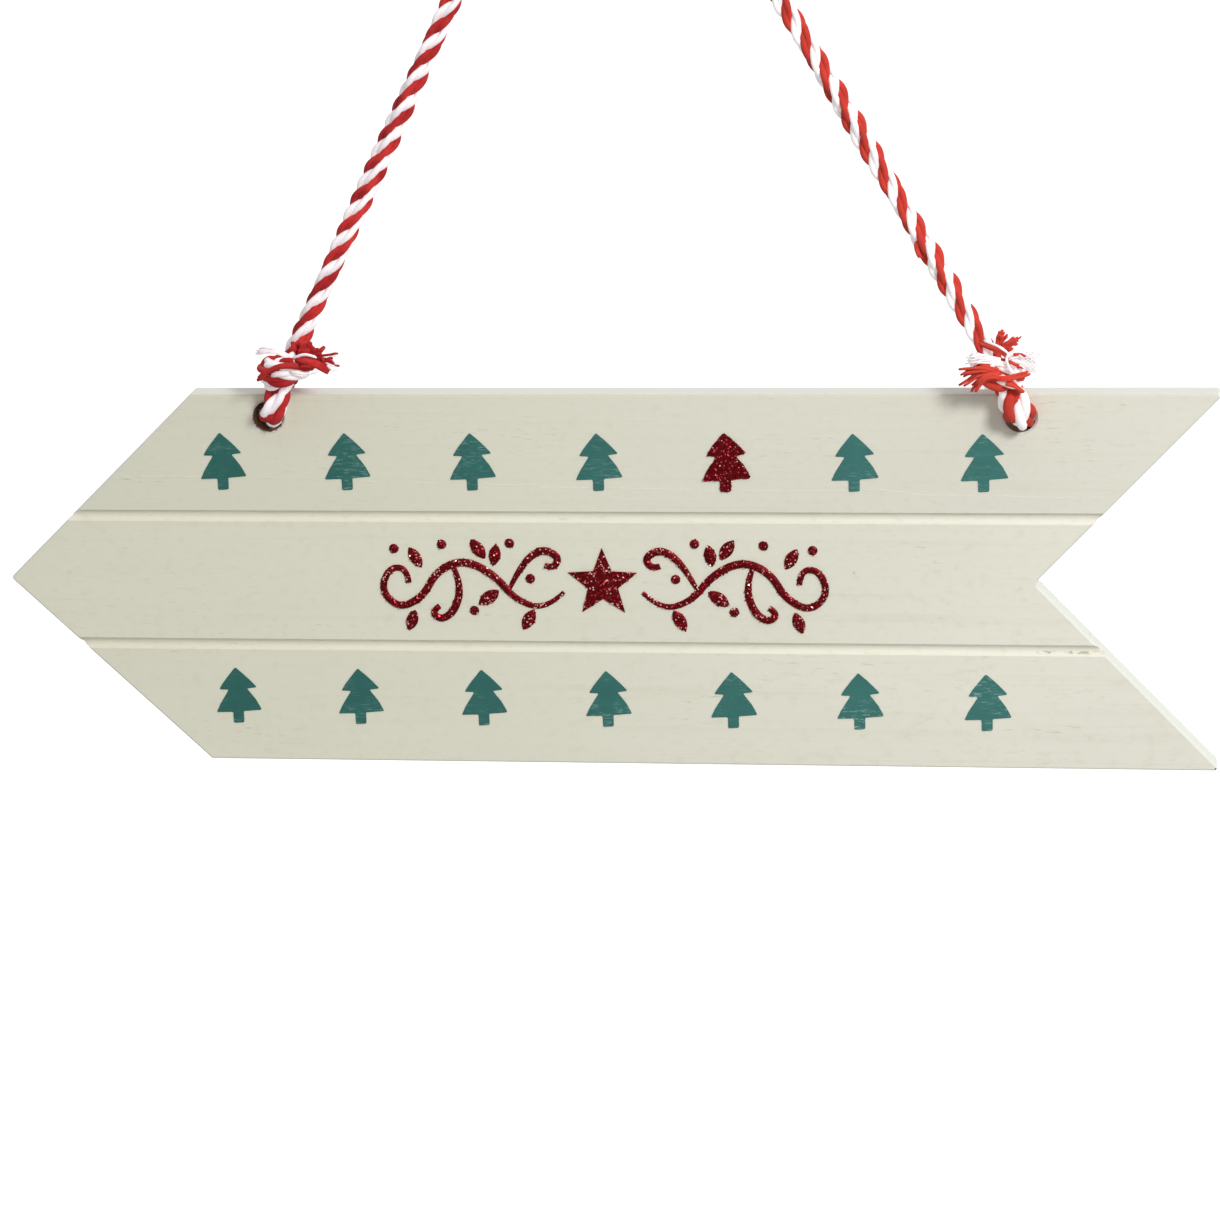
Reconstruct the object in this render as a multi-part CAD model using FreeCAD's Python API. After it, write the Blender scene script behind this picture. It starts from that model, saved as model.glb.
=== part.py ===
import FreeCAD, Part
import math
import os

# An arrow-shaped hanging sign: three V-jointed planks glued edge to edge, cut to a point at the
# left and a swallow tail at the right, hung by a rope that is knotted through two holes.
# Millimetres. X runs along the sign, its printed face looks along -Y, Z is up.
# The origin is the underside of the rope where it lies on its hook.

# Board
board_length = 400.0
board_thickness = 10.0
top_cover = 41.1
middle_cover = 44.1
bottom_cover = 40.3
point_depth = 65.0
tail_depth = 60.0
point_radius = 1.2
tail_radius = 2.2
corner_radius = 0.9
edge_round = 0.7

# Joints between the planks
joint_bevel = 1.9
back_bevel = 0.4
tongue_thickness = 3.0
tongue_length = 4.0
tongue_setback = 0.7
joint_clearance = 0.15

# Rope holes in the top plank
hole_diameter = 10.0
hole_mouth = 0.8
hole_drop = 7.6
point_to_left_hole = 90.6
hole_spacing = 245.0

# Rope
rope_diameter = 6.2
hook_diameter = 8.0
hang_height = 213.0
point_to_hang = 206.0
leg_clearance = 0.5
rope_rise_in_hole = 0.6
fold_radius = rope_diameter
bight_ease = 0.92

# Knots and frayed tails
knot_start = 16.6
knot_pitch = 6.0
wrap_diameter = 6.6
wrap_radius = 6.2
socket_depth = 1.3
back_leg_top = 13.0
tail_length = 12.0
tail_root_diameter = 5.2
tail_end_diameter = 10.5
tail_end_round = 1.6

# Printed trees
tree_pitch = 41.58
point_to_first_tree = 74.45
lower_row_shift = 0.6
upper_tree_drop = 12.85
lower_tree_drop = 93.3
tree_count = 7
glitter_tree_index = 4
tree_height = 19.2
tree_lean = 0.35
tier_shift = 0.25
tier_slope = 0.075
upper_tier_height = 7.2
upper_tier_width = 11.9
neck_width = 6.7
neck_step = 0.25
lower_tier_height = 15.05
lower_tier_width = 15.0
trunk_width = 3.55
tree_corner = 0.35
ink_thickness = 0.2
glitter_thickness = 0.4

# Derived places
half_thickness = board_thickness / 2.0
point_x = -point_to_hang
tail_x = point_x + board_length
top_z = -hang_height
upper_joint_z = top_z - top_cover
lower_joint_z = upper_joint_z - middle_cover
bottom_z = lower_joint_z - bottom_cover
middle_z = (top_z + bottom_z) / 2.0
hole_z = top_z - hole_drop
hole_radius = hole_diameter / 2.0
left_hole_x = point_x + point_to_left_hole
right_hole_x = left_hole_x + hole_spacing
rope_radius = rope_diameter / 2.0
hook_radius = hook_diameter / 2.0
leg_y = half_thickness + rope_radius + leg_clearance


def vec(x, y, z):
    return FreeCAD.Vector(x, y, z)


def corner_arc(before, corner, after, radius):
    """Start, middle and end of the arc that rounds a corner, tangent to both of its legs."""
    into = (corner - before).normalize()
    out = (after - corner).normalize()
    turn = into.getAngle(out)
    setback = radius * math.tan(turn / 2.0)
    inward = (out - into).normalize()
    reach = radius / math.cos(turn / 2.0) - radius
    return corner - into * setback, corner + inward * reach, corner + out * setback


def rounded_edges(points, radii, closed):
    """Straight runs joined by tangent arcs; an open route has no arc at its two ends."""
    count = len(points)
    edges = []
    if closed:
        arcs = [corner_arc(points[i - 1], points[i], points[(i + 1) % count], radii[i]) for i in range(count)]
        position = arcs[-1][2]
    else:
        arcs = [corner_arc(points[i - 1], points[i], points[i + 1], radii[i]) for i in range(1, count - 1)]
        position = points[0]
    for start, middle, end in arcs:
        edges.append(Part.LineSegment(position, start).toShape())
        edges.append(Part.Arc(start, middle, end).toShape())
        position = end
    if not closed:
        edges.append(Part.LineSegment(position, points[-1]).toShape())
    return edges


def prism(points, radii, start_y, end_y):
    """A rounded outline in the XZ plane, carried along Y."""
    outline = Part.Wire(rounded_edges([vec(x, start_y, z) for x, z in points], radii, True))
    return Part.Face(outline).extrude(vec(0, end_y - start_y, 0))


# The glued blank: arrow outline with its front and back arrises rounded over
blank = prism(
    [
        (point_x + point_depth, top_z),
        (tail_x, top_z),
        (tail_x - tail_depth, middle_z),
        (tail_x, bottom_z),
        (point_x + point_depth, bottom_z),
        (point_x, middle_z),
    ],
    [corner_radius, corner_radius, tail_radius, corner_radius, corner_radius, point_radius],
    -half_thickness,
    half_thickness,
)
arrises = [edge for edge in blank.Edges if edge.BoundBox.YLength < 1e-6]
blank = blank.makeFillet(edge_round, arrises)

# Plank sections, as (y, z) outlines along the sign's length
groove_half = tongue_thickness / 2.0 + joint_clearance
tongue_half = tongue_thickness / 2.0


def tongued_edge(z):
    """Upper edge of a plank, front to back, with the bevel of the V joint and a tongue."""
    return [
        (-half_thickness, z - joint_bevel),
        (-half_thickness + joint_bevel, z),
        (tongue_setback - tongue_half, z),
        (tongue_setback - tongue_half, z + tongue_length),
        (tongue_setback + tongue_half, z + tongue_length),
        (tongue_setback + tongue_half, z),
        (half_thickness - back_bevel, z),
        (half_thickness, z - back_bevel),
    ]


def grooved_edge(z):
    """Lower edge of a plank, back to front, with a groove that takes the next plank's tongue."""
    floor_z = z + tongue_length + joint_clearance
    return [
        (half_thickness, z + back_bevel),
        (half_thickness - back_bevel, z),
        (tongue_setback + groove_half, z),
        (tongue_setback + groove_half, floor_z),
        (tongue_setback - groove_half, floor_z),
        (tongue_setback - groove_half, z),
        (-half_thickness + joint_bevel, z),
        (-half_thickness, z + joint_bevel),
    ]


def plank(section):
    """The part of the blank that lies in one plank's section."""
    corners = [vec(point_x, y, z) for y, z in section]
    strip = Part.Face(Part.makePolygon(corners + corners[:1])).extrude(vec(board_length, 0, 0))
    return blank.common(strip)


def straight_edge(z, front_to_back):
    """The plain outer edge of the first or the last plank."""
    ends = [(-half_thickness, z), (half_thickness, z)]
    return ends if front_to_back else ends[::-1]


top_plank = plank(straight_edge(top_z, True) + grooved_edge(upper_joint_z))
middle_plank = plank(tongued_edge(upper_joint_z) + grooved_edge(lower_joint_z))
bottom_plank = plank(tongued_edge(lower_joint_z) + straight_edge(bottom_z, False))


def hole_cutter(x):
    """A drilled hole with both mouths eased for the rope."""
    start = vec(x, -half_thickness, hole_z)
    end = vec(x, half_thickness, hole_z)
    along = vec(0, 1, 0)
    drill = Part.makeCylinder(hole_radius, board_thickness, start, along)
    front = Part.makeCone(hole_radius + hole_mouth, hole_radius, hole_mouth, start, along)
    back = Part.makeCone(hole_radius + hole_mouth, hole_radius, hole_mouth, end, along * -1)
    return drill.fuse([front, back])


top_plank = top_plank.cut(hole_cutter(left_hole_x)).cut(hole_cutter(right_hole_x))

# The rope: each end comes up behind the board, goes through its hole and runs straight to the hook
hook_centre_z = -hook_radius
bight_radius = hook_radius + rope_radius


def run_direction(hole_x):
    """Direction of a taut run in the XZ plane, from a hole to its tangent on the hook's circle."""
    to_hook_x = -hole_x
    to_hook_z = hook_centre_z - hole_z
    aim = math.atan2(to_hook_z, to_hook_x)
    swing = math.asin(bight_radius / math.hypot(to_hook_x, to_hook_z))
    aim += swing if hole_x < 0 else -swing
    return vec(math.cos(aim), 0, math.sin(aim))


class RopeSide:
    """The route of one end of the rope, and the places of its knot and tail."""

    def __init__(self, hole_x):
        up = run_direction(hole_x)
        hole = vec(hole_x, 0, hole_z)
        self.front_fold = hole + up * rope_rise_in_hole + vec(0, -leg_y, 0)
        self.back_fold = hole + up * rope_rise_in_hole + vec(0, leg_y, 0)
        self.back_top = hole + up * back_leg_top + vec(0, leg_y, 0)
        self.crown = hole + up * ((rope_radius - hole_z) / up.z)
        self.run = (self.crown - self.front_fold).normalize()
        self.side = self.run.cross(vec(0, -1, 0)).normalize()
        self.behind = self.side.cross(self.run).normalize()
        if self.behind.y < 0:
            self.behind = self.behind * -1
        self.first_wrap = self.front_fold + self.run * knot_start
        self.second_wrap = self.first_wrap + self.run * knot_pitch
        self.end = self.first_wrap + self.behind * (wrap_radius + wrap_diameter / 2.0 - socket_depth)

    def points(self):
        return [self.end, self.back_top, self.back_fold, self.front_fold, self.crown]

    def knot(self, rope):
        """Two turns of rope round the taut run, as one body, with sockets where the rope goes in."""
        turns = [
            Part.makeTorus(wrap_radius, wrap_diameter / 2.0, centre, self.run)
            for centre in (self.first_wrap, self.second_wrap)
        ]
        return turns[0].fuse(turns[1]).removeSplitter().cut(rope)

    def tail(self, knot, centre, sideways, along, forward):
        """The frayed end: it widens from the knot to a soft round end."""
        aim = (self.side * sideways + self.run * along - self.behind * forward).normalize()
        out = self.side * math.copysign(wrap_radius, sideways)
        root = tail_root_diameter / 2.0
        tip = tail_end_diameter / 2.0
        horn = Part.makeCone(root, tip, tail_length, centre + out, aim)
        rim = max((edge for edge in horn.Edges if edge.Closed), key=lambda edge: edge.Length)
        return horn.makeFillet(tail_end_round, [rim]).cut(knot)


left = RopeSide(left_hole_x)
right = RopeSide(right_hole_x)
route = left.points() + right.points()[::-1]
hook_arc = bight_radius * bight_ease
route_radii = [0.0] + [fold_radius] * 3 + [hook_arc] * 2 + [fold_radius] * 3 + [0.0]
route_edges = rounded_edges(route, route_radii, False)
route_wire = Part.Wire(route_edges)
start_direction = (route[1] - route[0]).normalize()
rope_section = Part.Wire(Part.Circle(route[0], start_direction, rope_radius).toShape())
hanging_rope = route_wire.makePipeShell([rope_section], True, False)

rope_length = sum(edge.Length for edge in route_edges)
print("rope route, mm:", [[round(c, 2) for c in point] for point in route])
print("rope arcs, mm:", fold_radius, round(hook_arc, 2))
print("rope length, mm:", round(rope_length, 1))
print("rope volume over section times length:", round(hanging_rope.Volume / (math.pi * rope_radius**2 * rope_length), 4))

left_knot = left.knot(hanging_rope)
right_knot = right.knot(hanging_rope)
left_tail = left.tail(left_knot, left.second_wrap, 1.0, 0.05, 0.25)
right_tail = right.tail(right_knot, right.first_wrap, -1.0, -0.05, 0.45)

# Printed trees: a two-tier fir outline on an upright trunk, as a film on the front face.
# The tiers' lower edges rise to the right, and the top leans to the left.
tree_steps = [
    (tier_shift, upper_tier_width / 2.0, upper_tier_height),
    (tier_shift, neck_width / 2.0, upper_tier_height + neck_step),
    (tier_shift, lower_tier_width / 2.0, lower_tier_height),
    (0.0, trunk_width / 2.0, lower_tier_height),
    (0.0, trunk_width / 2.0, tree_height),
]
tree_right = [(middle + half, tier_slope * (middle + half) - drop) for middle, half, drop in tree_steps]
tree_left = [(middle - half, tier_slope * (middle - half) - drop) for middle, half, drop in reversed(tree_steps)]
tree_outline = [(-tree_lean, 0.0)] + tree_right + tree_left


def tree(index, drop, shift, thickness):
    """One printed tree, counted from the point of the arrow; its top is the given drop below the edge."""
    film = prism(tree_outline, [tree_corner] * len(tree_outline), 0, -thickness)
    trunk_x = point_x + point_to_first_tree + index * tree_pitch + shift
    film.translate(vec(trunk_x, -half_thickness, top_z - drop))
    return film


upper_row = [tree(i, upper_tree_drop, 0.0, ink_thickness) for i in range(tree_count) if i != glitter_tree_index]
lower_row = [tree(i, lower_tree_drop, lower_row_shift, ink_thickness) for i in range(tree_count)]
tree_prints = Part.makeCompound(upper_row + lower_row)
glitter_tree = tree(glitter_tree_index, upper_tree_drop, 0.0, glitter_thickness)

nodes = {
    "top_plank": top_plank,
    "middle_plank": middle_plank,
    "bottom_plank": bottom_plank,
    "hanging_rope": hanging_rope,
    "left_knot": left_knot,
    "right_knot": right_knot,
    "left_tail": left_tail,
    "right_tail": right_tail,
    "tree_prints": tree_prints,
    "glitter_tree": glitter_tree,
}

os.makedirs("parts", exist_ok=True)
for name, shape in nodes.items():
    box = shape.BoundBox
    print(name, "valid", shape.isValid(), "solids", len(shape.Solids), "volume", round(shape.Volume, 1),
          "x", round(box.XMin, 1), round(box.XMax, 1), "y", round(box.YMin, 1), round(box.YMax, 1),
          "z", round(box.ZMin, 1), round(box.ZMax, 1))
    shape.exportStep("parts/" + name + ".step")
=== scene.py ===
"""A hanging arrow sign: three painted planks with printed firs, on a red and white rope."""

from __future__ import annotations

import logging
import math
import random
from dataclasses import dataclass, field
from enum import Enum
from typing import Iterable, Sequence

import bpy
import numpy as np
from mathutils import Matrix, Vector

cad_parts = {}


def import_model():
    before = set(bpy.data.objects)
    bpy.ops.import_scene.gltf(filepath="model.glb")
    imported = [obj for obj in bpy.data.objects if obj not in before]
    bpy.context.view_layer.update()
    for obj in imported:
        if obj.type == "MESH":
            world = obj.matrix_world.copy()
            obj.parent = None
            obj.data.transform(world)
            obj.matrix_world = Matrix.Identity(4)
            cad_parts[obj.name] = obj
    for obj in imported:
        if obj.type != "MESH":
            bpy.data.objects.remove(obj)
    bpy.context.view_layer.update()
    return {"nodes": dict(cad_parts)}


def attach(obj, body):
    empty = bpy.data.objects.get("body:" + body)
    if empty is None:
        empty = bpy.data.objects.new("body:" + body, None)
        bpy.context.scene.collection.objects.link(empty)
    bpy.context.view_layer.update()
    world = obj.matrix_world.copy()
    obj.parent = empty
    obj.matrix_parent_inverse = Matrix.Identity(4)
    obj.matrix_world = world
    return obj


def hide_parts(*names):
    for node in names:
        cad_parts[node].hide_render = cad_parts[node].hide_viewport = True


LOG = logging.getLogger("arrow_sign")
BODY = "root"
MM = 0.001
SQUARE_MM = 1e6  # in a square metre
TURN = 2.0 * math.pi

# Places on the board that several pieces share, in millimetres.
FRONT = -5.0
HOLES = ((-115.4, -220.6), (129.6, -220.6))
FIRST_TREE = -131.55
TREE_PITCH = 41.58

# How light each plank's paint is; the top plank's is darker as painted shade, which evens out the lamps'
# stronger light at the top.
PLANK_SHADE_TONES = {"top_plank": 0.93, "middle_plank": 0.985, "bottom_plank": 0.98}

Colour = tuple[float, float, float]
Place = tuple[float, float, float]
Span = tuple[float, float]
Link = bpy.types.NodeSocket
Sockets = dict[str | int, object]


class Slot(Enum):
    """Material slots of the record."""

    WOOD = "painted_wood"
    ROPE = "rope"
    INK = "tree_ink"
    GLITTER = "red_glitter"


class Ply(Enum):
    """Colours of the rope's yarn, by the index of their material."""

    RED = 0
    WHITE = 1


RED, WHITE = Ply


class Twist(Enum):
    """Sense of a twist: Z strands rise to the right, S strands to the left."""

    Z = 1.0
    S = -1.0


def linear(code: str) -> Colour:
    """Linear colour of an sRGB hex code."""
    parts = [int(code[i : i + 2], 16) / 255.0 for i in (1, 3, 5)]
    return tuple(p / 12.92 if p <= 0.04045 else ((p + 0.055) / 1.055) ** 2.4 for p in parts)


@dataclass(frozen=True)
class Grain:
    """A noise: its pitch along each axis, its octaves and their roughness."""

    pitch: Place
    detail: float = 3.0
    rough: float = 0.55


@dataclass(frozen=True)
class Layer:
    """A noise that comes up over a span of its values, and the share that it then has."""

    grain: Grain
    span: Span
    share: float = 1.0


class Sheet:
    """A material's node tree, with short calls for the nodes that the finishes share."""

    # A Mix node's factor and colours, and its colour output, among those of other kinds.
    MIX_INPUTS = (0, 6, 7)
    MIX_OUTPUT = 2
    # How far a material's shift moves its noise along each axis.
    SHIFT_AXES = (1.0, 1.7, 2.3)

    def __init__(self, name: str, shift: float) -> None:
        """Starts a material with one shader.

        Args:
            name: the material's name.
            shift: offset that gives it noise of its own.
        """
        self.material = bpy.data.materials.new(name)
        self.material.use_nodes = True
        self.tree = self.material.node_tree
        self.shader = self.tree.nodes["Principled BSDF"]
        self.shift = tuple(shift * axis for axis in self.SHIFT_AXES)
        self.noises: dict[Grain, Link] = {}
        surface = self.add("TexCoord", {})
        self.place = surface.outputs["Object"]
        self.normal = surface.outputs["Normal"]

    def add(self, kind: str, sockets: Sockets, **settings: object) -> bpy.types.Node:
        """Adds a node.

        Args:
            kind: its type, after the ShaderNode that starts the type's name.
            sockets: outputs or plain values for its inputs.
            settings: its plain properties by name.

        Returns:
            The node.
        """
        node = self.tree.nodes.new("ShaderNode" + kind)
        for key, value in settings.items():
            setattr(node, key, value)
        self.feed(node, sockets)
        return node

    def feed(self, node: bpy.types.Node, sockets: Sockets) -> None:
        """Links a node's inputs to outputs, or sets them; a plain colour gets its alpha here.

        Args:
            node: the node.
            sockets: outputs or plain values for its inputs.
        """
        for key, value in sockets.items():
            socket = node.inputs[key]
            if isinstance(value, bpy.types.NodeSocket):
                self.tree.links.new(value, socket)
            else:
                socket.default_value = (*value, 1.0) if socket.type == "RGBA" else value

    def axes(self, source: Link) -> tuple[Link, ...]:
        """X, Y and Z of a place or a normal."""
        return tuple(self.add("SeparateXYZ", {0: source}).outputs)

    def noise(self, grain: Grain, source: Link | None = None) -> Link:
        """A noise of about 0 to 1 over the object, or over other coordinates.

        Args:
            grain: the kind of noise.
            source: the other coordinates, if any.

        Returns:
            The noise.
        """
        if grain not in self.noises:
            place = {"Vector": source or self.place, "Location": self.shift, "Scale": grain.pitch}
            where = self.add("Mapping", place).outputs["Vector"]
            node = self.add(
                "TexNoise",
                {"Vector": where, "Scale": 1.0, "Detail": grain.detail, "Roughness": grain.rough},
            )
            self.noises[grain] = node.outputs["Fac"]
        return self.noises[grain]

    def math(self, kind: str, *values: object) -> Link:
        """Arithmetic on values or outputs."""
        return self.add("Math", dict(enumerate(values)), operation=kind).outputs[0]

    def product(self, first: object, *others: object) -> Link:
        """The product of values or outputs.

        Args:
            first: the first factor.
            others: the factors after it.

        Returns:
            The product.
        """
        for other in others:
            first = self.math("MULTIPLY", first, other)
        return first

    def ramp(self, value: Link, low: float, high: float) -> Link:
        """A smooth step from 0 at low to 1 at high; it falls when low is above high.

        Args:
            value: what is stepped.
            low: where the step is 0.
            high: where it is 1.

        Returns:
            The step.
        """
        rising = low < high
        span = {"From Min": min(low, high), "From Max": max(low, high)}
        ends = {"To Min": float(not rising), "To Max": float(rising)}
        node = self.add(
            "MapRange", {"Value": value, **span, **ends}, interpolation_type="SMOOTHSTEP"
        )
        return node.outputs["Result"]

    def layer(self, layer: Layer) -> Link:
        """How strongly a layer shows."""
        return self.product(self.ramp(self.noise(layer.grain), *layer.span), layer.share)

    def blend(self, share: Link, under: object, over: object) -> Link:
        """Lays a share of one colour over another."""
        sockets = dict(zip(self.MIX_INPUTS, (share, under, over)))
        return self.add("Mix", sockets, data_type="RGBA").outputs[self.MIX_OUTPUT]

    def brightness(self, colour: object, factor: Link) -> Link:
        """A colour times a factor."""
        return self.add("VectorMath", {0: colour, "Scale": factor}, operation="SCALE").outputs[0]

    def distance(self, point: Place, weights: Place = (1.0, 1.0, 1.0)) -> Link:
        """Distance of the shaded point from a place, with a weight for each axis.

        Args:
            point: the place, in metres.
            weights: each axis's weight.

        Returns:
            The distance.
        """
        offset = self.add("VectorMath", {0: self.place, 1: point}, operation="SUBTRACT")
        scaled = self.add("VectorMath", {0: offset.outputs[0], 1: weights}, operation="MULTIPLY")
        length = self.add("VectorMath", {0: scaled.outputs[0]}, operation="LENGTH")
        return length.outputs["Value"]

    def bump(self, *heights: tuple[Link, float]) -> Link:
        """The normal over heights of about 0 to 1, each with its depth in metres.

        Args:
            heights: the heights, each with its depth.

        Returns:
            The normal.
        """
        normal: Sockets = {}
        for height, depth in heights:
            sockets = {"Strength": 1.0, "Distance": depth, "Height": height, **normal}
            normal = {"Normal": self.add("Bump", sockets).outputs["Normal"]}
        return normal["Normal"]


class Finish:
    """What a surface looks like."""

    def sockets(self, s: Sheet) -> Sockets:
        """The shader's inputs, once their nodes are on the sheet."""
        raise NotImplementedError

    def make(self, name: str, shift: float = 0.0) -> bpy.types.Material:
        """Makes a material.

        Args:
            name: its name.
            shift: offset that gives it noise of its own.

        Returns:
            The material.
        """
        s = Sheet(name, shift)
        s.feed(s.shader, self.sockets(s))
        return s.material


@dataclass(frozen=True)
class PaintedWood(Finish):
    """Matt cream paint brushed thinly over softwood, worn through at chips and drilled holes."""

    tone: float = 1.0
    cream: Colour = linear("#DAD8C5")
    # Painted light: the cream turns lighter and cooler towards the right, in place of the stronger light on
    # that side.
    lit_right: Colour = linear("#E0DED0")
    dull: Colour = linear("#CBC7B1")
    # Painted light: edges and end grain take this lighter colour.
    edge: Colour = linear("#E9EAE1")
    stain: Colour = linear("#A8A48E")
    timber: tuple[Colour, Colour] = (linear("#9A7C62"), linear("#5E4634"))
    roughness: float = 0.62
    specular: float = 0.3
    # Where that painted light comes in, along X.
    lit_span: Span = (-0.16, 0.20)
    clouds: Layer = Layer(Grain((6.0, 6.0, 14.0), 3.0, 0.5), (0.3, 0.7), 0.045)
    cloud_base: float = 1.015
    streaks: Layer = Layer(Grain((7.0, 60.0, 420.0), 5.0, 0.62), (0.5, 0.8), 0.3)
    mottle: Layer = Layer(Grain((260.0, 260.0, 420.0), 3.0, 0.6), (0.48, 0.78), 0.3)
    fibre: Grain = Grain((45.0, 260.0, 2400.0))
    dashes: Layer = Layer(Grain((190.0, 700.0, 1300.0), 3.0, 0.6), (0.58, 0.78))
    clusters: Layer = Layer(Grain((22.0, 20.0, 60.0), 2.0, 0.5), (0.46, 0.66))
    open_grain: tuple[tuple[float, float, float, float], ...] = (
        (0.155, -0.3135, 0.020, 0.0035),
        (0.140, -0.3258, 0.026, 0.0030),
        (-0.060, -0.2860, 0.030, 0.0040),
    )
    open_core: float = 0.5
    pore_share: float = 0.5
    streak_depth: float = 0.00006
    fibre_depth: float = 0.000014
    pore_depth: float = 0.00003
    mottle_depth: float = 0.00003
    fleck: Place = (0.0758, -0.2724, 0.0006)
    fleck_core: float = 0.4
    fleck_share: float = 0.4
    edge_facing: Span = (0.6, 0.2)
    end_facing: Span = (0.15, 0.45)
    # Painted shade: the arrises between the face and the edges are darkened by the factor below.
    arris_facing: tuple[Span, Span] = ((0.2, 0.4), (0.99, 0.95))
    arris_ends: Span = (0.08, 0.2)
    top_arris: Span = (-0.2147, -0.2143)
    arris_shade_factor: float = 0.88
    knocked: Place = (0.1455, -0.2990, 0.0115)
    knocked_core: float = 0.8
    knocked_lip: Span = (0.0006, 0.0002)
    knocked_front: Span = (0.003, 0.002)
    knocks: Layer = Layer(Grain((360.0, 60.0, 900.0), 3.0, 0.6), (0.46, 0.56), 0.8)
    ragged: Grain = Grain((700.0, 500.0, 1100.0), 4.0, 0.65)
    tears: tuple[float, float] = (0.0018, 0.0011)
    tear_top: Span = (0.0022, 0.0002)
    hole_wall: Span = (0.00509, 0.00502)
    hole_rim: Span = (0.0044, 0.0041)
    chips: tuple[Place, ...] = ((0.1924, -0.3379, 0.0004),)
    chip_span: Span = (1.6, 1.3)
    bare: Layer = Layer(Grain((300.0, 900.0, 900.0)), (0.35, 0.7))

    def sockets(self, s: Sheet) -> Sockets:
        """The shader's inputs.

        Args:
            s: the sheet that the nodes go on.

        Returns:
            The inputs, by their names.
        """
        # Painted light: lighter towards the right.
        colour = s.blend(s.ramp(s.axes(s.place)[0], *self.lit_span), self.cream, self.lit_right)
        cloudy = s.math("ADD", s.layer(self.clouds), self.cloud_base)
        colour = s.brightness(colour, s.product(cloudy, self.tone))
        colour = s.blend(s.layer(self.streaks), colour, self.dull)
        colour = s.blend(s.layer(self.mottle), colour, self.dull)
        pores = self.pores(s)
        colour = s.blend(s.product(pores, self.pore_share), colour, self.stain)
        colour = s.blend(self.stained_spot(s), colour, self.stain)
        # Painted light on the edges and end grain.
        colour = s.blend(self.painted_edge_light(s), colour, self.edge)
        # Painted shade on the arrises.
        arris_darkening = s.math("MULTIPLY_ADD", self.painted_arris_shade(s), self.arris_shade_factor - 1.0, 1.0)
        colour = s.blend(self.knocked_arris(s), s.brightness(colour, arris_darkening), self.stain)
        timber = s.blend(s.layer(self.bare), *self.timber)
        normal = s.bump(
            (s.noise(self.streaks.grain), self.streak_depth),
            (s.noise(self.fibre), self.fibre_depth),
            (s.math("SUBTRACT", 1.0, pores), self.pore_depth),
            (s.noise(self.mottle.grain), self.mottle_depth),
        )
        return {
            "Base Color": s.blend(self.worn_places(s), colour, timber),
            "Roughness": self.roughness,
            "Specular IOR Level": self.specular,
            "Normal": normal,
        }

    def pores(self, s: Sheet) -> Link:
        """Short open pores of the grain, in loose clusters.

        Args:
            s: the sheet that the nodes go on.

        Returns:
            How strongly it shows.
        """
        clusters = s.layer(self.clusters)
        for x, z, length, height in self.open_grain:
            away = s.distance((x, 0.0, z), (1.0 / length, 0.0, 1.0 / height))
            clusters = s.math("MAXIMUM", clusters, s.ramp(away, 1.0, self.open_core))
        return s.product(s.layer(self.dashes), clusters)

    def stained_spot(self, s: Sheet) -> Link:
        """A faint fleck in the paint.

        Args:
            s: the sheet that the nodes go on.

        Returns:
            How strongly it shows.
        """
        x, z, radius = self.fleck
        away = s.distance((x, FRONT * MM, z))
        return s.product(s.ramp(away, radius, radius * self.fleck_core), self.fleck_share)

    def painted_edge_light(self, s: Sheet) -> Link:
        """Edges and end grain, made lighter than the face as painted light."""
        x, y, _ = (s.math("ABSOLUTE", axis) for axis in s.axes(s.normal))
        return s.math("MAXIMUM", s.ramp(y, *self.edge_facing), s.ramp(x, *self.end_facing))

    def painted_arris_shade(self, s: Sheet) -> Link:
        """Painted shade on the arrises of the ends and of the top edge, which darkens their highlight.

        Args:
            s: the sheet that the nodes go on.

        Returns:
            How strongly it shows.
        """
        x, y, _ = (s.math("ABSOLUTE", axis) for axis in s.axes(s.normal))
        top = s.ramp(s.axes(s.place)[2], *self.top_arris)
        between = [s.ramp(y, *span) for span in self.arris_facing]
        return s.product(*between, s.math("MAXIMUM", s.ramp(x, *self.arris_ends), top))

    def knocked_arris(self, s: Sheet) -> Link:
        """Paint knocked off the lower lip of a joint near the tail.

        Args:
            s: the sheet that the nodes go on.

        Returns:
            How strongly it shows.
        """
        x, z, reach = self.knocked
        lip = s.ramp(s.distance((0.0, 0.0, z), (0.0, 0.0, 1.0)), *self.knocked_lip)
        along = s.distance((x, 0.0, 0.0), (1.0, 0.0, 0.0))
        near = s.ramp(along, reach, reach * self.knocked_core)
        depth = s.distance((0.0, FRONT * MM, 0.0), (0.0, 1.0, 0.0))
        return s.product(lip, near, s.ramp(depth, *self.knocked_front), s.layer(self.knocks))

    def worn_places(self, s: Sheet) -> Link:
        """Where bare timber shows: the holes' walls with a torn rim, and chips.

        Args:
            s: the sheet that the nodes go on.

        Returns:
            How strongly it shows.
        """
        ragged = s.noise(self.ragged)
        height = s.axes(s.place)[2]
        worn = []
        for (x, z), reach in zip(HOLES, self.tears):
            away = s.distance((x * MM, 0.0, z * MM), (1.0, 0.0, 1.0))
            below = s.ramp(height, *(z * MM + rise for rise in self.tear_top))
            torn = s.math("SUBTRACT", away, s.product(ragged, reach, below))
            worn += [s.ramp(away, *self.hole_wall), s.ramp(torn, *self.hole_rim)]
        for x, z, radius in self.chips:
            torn = s.math("MULTIPLY_ADD", ragged, radius, s.distance((x, FRONT * MM, z)))
            worn.append(s.ramp(torn, *(radius * share for share in self.chip_span)))
        total = worn[0]
        for share in worn[1:]:
            total = s.math("MAXIMUM", total, share)
        return total


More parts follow.
